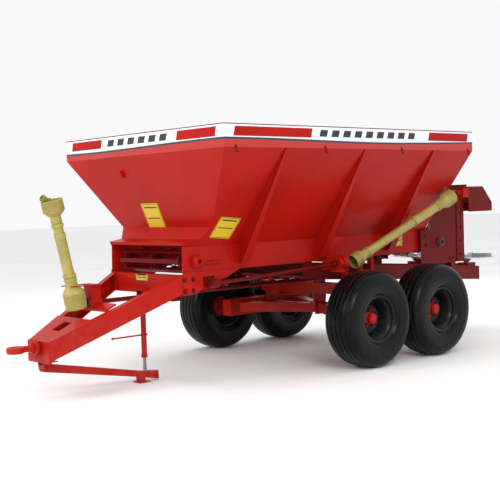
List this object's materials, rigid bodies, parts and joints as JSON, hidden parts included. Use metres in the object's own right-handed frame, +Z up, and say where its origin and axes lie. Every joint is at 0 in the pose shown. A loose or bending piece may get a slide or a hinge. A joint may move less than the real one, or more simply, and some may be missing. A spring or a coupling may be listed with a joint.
{
  "type": "towed spreader",
  "caption": "Towed tandem-axle compost and lime spreader: tapered hopper with chain floor, converging drawbar, screw jack stand, guarded drive shafts, rear beater and spinning discs.",
  "frame": {"origin": "middle of the machine's overall length and width, on the ground it stands on", "axes": "+X points to the rear, away from the tractor; +Y to the side without the outside drive shaft; +Z up"},
  "size_m": [5.8896, 2.465, 2.175],
  "materials": {
    "red_paint": "gloss enamel",
    "dark_red_paint": "satin enamel",
    "band_paint": "gloss enamel",
    "guard_plastic": "aged moulded plastic",
    "tyre_rubber": "dressed rubber",
    "black_paint": "gloss enamel",
    "galvanised": "galvanised",
    "bright_steel": "oiled"
  },
  "bodies": {
    "frame": {"chassis_plates": "red_paint", "front_cross_member": "red_paint", "drawbar_beam_left": "red_paint", "drawbar_beam_right": "red_paint", "drawbar_nose": "red_paint", "chassis_bolts": "dark_red_paint", "hopper_front": "red_paint", "hopper_side_left": "red_paint", "hopper_side_right": "red_paint", "hopper_rear": "red_paint", "hopper_floor": "dark_red_paint", "rim_band": "band_paint", "side_ribs": "red_paint", "tarp_hooks": "dark_red_paint", "rear_panel_left": "dark_red_paint", "rear_panel_right": "dark_red_paint", "beater_cover": "dark_red_paint", "subframe_beam_left": "dark_red_paint", "subframe_beam_right": "dark_red_paint", "subframe_ties": "dark_red_paint", "axle_beam": "red_paint", "pivot_axle": "bright_steel", "input_bracket": "red_paint", "conveyor_chains": "dark_red_paint", "conveyor_slats": "dark_red_paint", "splitter_gearbox": "dark_red_paint", "side_bearing": "red_paint", "beater_gearbox": "red_paint", "disc_gearbox": "red_paint", "conveyor_gearbox": "red_paint", "side_guard": "guard_plastic"},
    "hitch": {"hitch_eye": "red_paint"},
    "jack_nut": {"jack_tube": "red_paint"},
    "jack_foot": {"jack_screw": "bright_steel"},
    "stand": {"stand_bar": "red_paint"},
    "input_shaft": {"input_shaft": "dark_red_paint"},
    "front_guard_lower": {"front_guard_lower": "guard_plastic"},
    "front_guard_upper": {"front_guard_upper": "guard_plastic"},
    "front_shaft": {"front_shaft": "dark_red_paint"},
    "tractor_yoke": {"tractor_yoke": "dark_red_paint"},
    "side_shaft": {"side_shaft": "dark_red_paint"},
    "side_drive_shaft": {"side_drive_shaft": "dark_red_paint"},
    "disc_left": {"spreading_disc_left": "galvanised"},
    "disc_right": {"spreading_disc_right": "galvanised"},
    "beater": {"beater": "dark_red_paint"},
    "conveyor_idler": {"conveyor_idler": "dark_red_paint"},
    "conveyor_drive": {"conveyor_drive": "dark_red_paint"},
    "gate": {"metering_gate": "galvanised"},
    "hood": {"rear_hood": "dark_red_paint"},
    "tensioner": {"chain_tensioner": "red_paint"},
    "rocker_left": {"rocker_left": "red_paint"},
    "rocker_right": {"rocker_right": "red_paint"},
    "wheel_front_left": {"tyre_front_left": "tyre_rubber", "wheel_front_left": "black_paint"},
    "wheel_front_right": {"tyre_front_right": "tyre_rubber", "wheel_front_right": "black_paint"},
    "wheel_rear_left": {"tyre_rear_left": "tyre_rubber", "wheel_rear_left": "black_paint"},
    "wheel_rear_right": {"tyre_rear_right": "tyre_rubber", "wheel_rear_right": "black_paint"}
  },
  "joints": [
    {"name": "hitch_swivel", "type": "hinge", "parent": "frame", "child": "hitch", "pos_m": [-2.65525, 0, 0.428], "axis": [1, 0, 0], "range_deg": [-30, 30]},
    {"name": "jack_turn", "type": "hinge", "parent": "frame", "child": "jack_nut", "pos_m": [-1.61925, 0, 0.4], "axis": [0, 0, 1], "range_deg": [0, 1800]},
    {"name": "jack_extend", "type": "slide", "parent": "frame", "child": "jack_foot", "axis": [0, 0, -1], "range_m": [0, 0.12]},
    {"name": "stand_swing", "type": "hinge", "parent": "frame", "child": "stand", "pos_m": [-2.61325, 0, 0.257], "axis": [0, 1, 0], "range_deg": [0, 7.1]},
    {"name": "input_spin", "type": "hinge", "parent": "frame", "child": "input_shaft", "pos_m": [0.14475, 0, 0.745], "axis": [1, 0, 0], "continuous": true},
    {"name": "front_fold", "type": "hinge", "parent": "frame", "child": "front_guard_lower", "pos_m": [-2.29525, 0, 0.745], "axis": [0, -1, 0], "range_deg": [0, 70]},
    {"name": "front_slide", "type": "slide", "parent": "front_guard_lower", "child": "front_guard_upper", "axis": [-0.2181, 0, 0.9759], "range_m": [0, 0.2]},
    {"name": "front_spin", "type": "hinge", "parent": "front_guard_upper", "child": "front_shaft", "pos_m": [-2.29525, 0, 0.745], "axis": [0.2181, 0, -0.9759], "continuous": true},
    {"name": "yoke_tilt", "type": "hinge", "parent": "front_shaft", "child": "tractor_yoke", "pos_m": [-2.47958, 0, 1.56965], "axis": [0, 1, 0], "range_deg": [0, 80]},
    {"name": "side_shaft_spin", "type": "hinge", "parent": "frame", "child": "side_shaft", "pos_m": [-1.19525, -0.6, 0.863], "axis": [0.9953, -0.0798, 0.0555], "continuous": true},
    {"name": "side_drive_spin", "type": "hinge", "parent": "frame", "child": "side_drive_shaft", "pos_m": [0.34675, -0.727, 0.95], "axis": [0.902, -0.136, 0.4099], "continuous": true},
    {"name": "beater_spin", "type": "hinge", "parent": "frame", "child": "beater", "pos_m": [1.94475, 0, 1.385], "axis": [0, 1, 0], "continuous": true},
    {"name": "disc_left_spin", "type": "hinge", "parent": "frame", "child": "disc_left", "pos_m": [2.64475, 0.36, 0.725], "axis": [0, 0, 1], "continuous": true},
    {"name": "disc_right_spin", "type": "hinge", "parent": "frame", "child": "disc_right", "pos_m": [2.64475, -0.36, 0.725], "axis": [0, 0, 1], "continuous": true},
    {"name": "conveyor_drive_spin", "type": "hinge", "parent": "frame", "child": "conveyor_drive", "pos_m": [1.89975, 0, 1.055], "axis": [0, 1, 0], "continuous": true},
    {"name": "tension_slide", "type": "slide", "parent": "frame", "child": "tensioner", "axis": [1, 0, 0], "range_m": [0, 0.015]},
    {"name": "conveyor_idler_spin", "type": "hinge", "parent": "tensioner", "child": "conveyor_idler", "pos_m": [-1.43025, 0, 1.055], "axis": [0, 1, 0], "continuous": true},
    {"name": "gate_slide", "type": "slide", "parent": "frame", "child": "gate", "axis": [0, 0, 1], "range_m": [0, 0.16]},
    {"name": "hood_lift", "type": "hinge", "parent": "frame", "child": "hood", "pos_m": [2.33675, 0, 1.647], "axis": [0, -1, 0], "range_deg": [0, 80]},
    {"name": "rocker_left_tilt", "type": "hinge", "parent": "frame", "child": "rocker_left", "pos_m": [0.60975, 0, 0.445], "axis": [0, 1, 0], "range_deg": [-8, 8]},
    {"name": "wheel_front_left_spin", "type": "hinge", "parent": "rocker_left", "child": "wheel_front_left", "pos_m": [0.14475, 1.06, 0.445], "axis": [0, 1, 0], "continuous": true},
    {"name": "wheel_rear_left_spin", "type": "hinge", "parent": "rocker_left", "child": "wheel_rear_left", "pos_m": [1.07475, 1.06, 0.445], "axis": [0, 1, 0], "continuous": true},
    {"name": "rocker_right_tilt", "type": "hinge", "parent": "frame", "child": "rocker_right", "pos_m": [0.60975, 0, 0.445], "axis": [0, 1, 0], "range_deg": [-8, 8]},
    {"name": "wheel_front_right_spin", "type": "hinge", "parent": "rocker_right", "child": "wheel_front_right", "pos_m": [0.14475, -1.06, 0.445], "axis": [0, 1, 0], "continuous": true},
    {"name": "wheel_rear_right_spin", "type": "hinge", "parent": "rocker_right", "child": "wheel_rear_right", "pos_m": [1.07475, -1.06, 0.445], "axis": [0, 1, 0], "continuous": true}
  ],
  "couplings": [
    {"joint": "jack_extend", "follows": "jack_turn", "m_per_rad": 0.0038197},
    {"joint": "stand_swing", "follows": "jack_turn", "ratio": 0.0039},
    {"joint": "disc_right_spin", "follows": "disc_left_spin", "ratio": -1},
    {"joint": "input_spin", "follows": "disc_left_spin", "ratio": 1},
    {"joint": "front_spin", "follows": "disc_left_spin", "ratio": 1},
    {"joint": "side_shaft_spin", "follows": "disc_left_spin", "ratio": -1},
    {"joint": "side_drive_spin", "follows": "disc_left_spin", "ratio": -1},
    {"joint": "beater_spin", "follows": "disc_left_spin", "ratio": 0.8},
    {"joint": "conveyor_drive_spin", "follows": "disc_left_spin", "ratio": 0.04},
    {"joint": "conveyor_idler_spin", "follows": "disc_left_spin", "ratio": 0.04}
  ]
}
